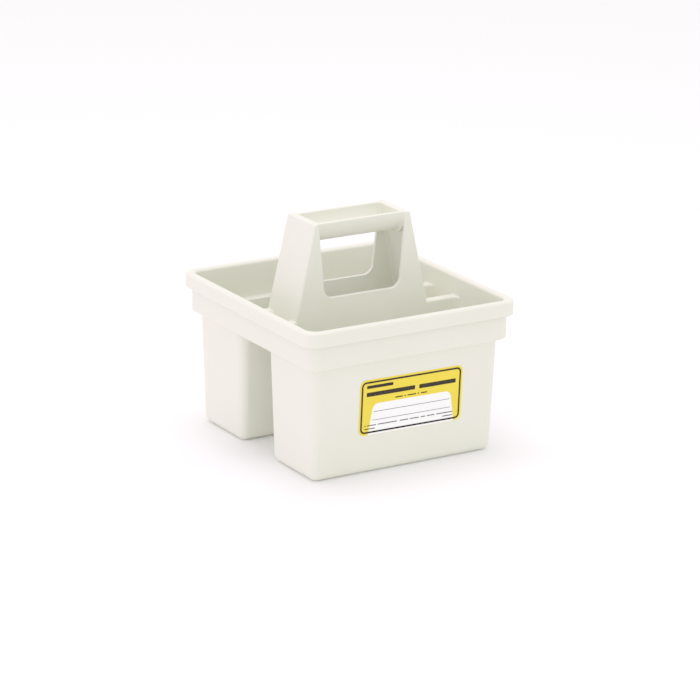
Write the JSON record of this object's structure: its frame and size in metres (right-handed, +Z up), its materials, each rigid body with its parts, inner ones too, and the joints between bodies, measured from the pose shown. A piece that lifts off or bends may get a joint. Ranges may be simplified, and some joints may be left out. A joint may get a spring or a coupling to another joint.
{
  "type": "cleaning caddy",
  "caption": "Moulded plastic tote caddy with two deep bins, side pockets, a stepped rim, a central windowed handle with a tray on top, and a blank front label.",
  "frame": {"origin": "middle of the footprint, on the surface the two bins stand on", "axes": "+Z up, -Y out of the labelled face, +X to the right when facing the label; the handle and its tray run along X"},
  "size_m": [0.17, 0.1774, 0.1635],
  "materials": {
    "moulding": "ivory satin polypropylene",
    "label": "yellow printed film with a white writing panel"
  },
  "bodies": {
    "root": {"front_bin": "moulding", "rear_bin": "moulding", "rim_band": "moulding", "rim_lip": "moulding", "left_pocket": "moulding", "right_pocket": "moulding", "handle_frame": "moulding", "grip_tray": "moulding", "label": "label"}
  },
  "joints": []
}
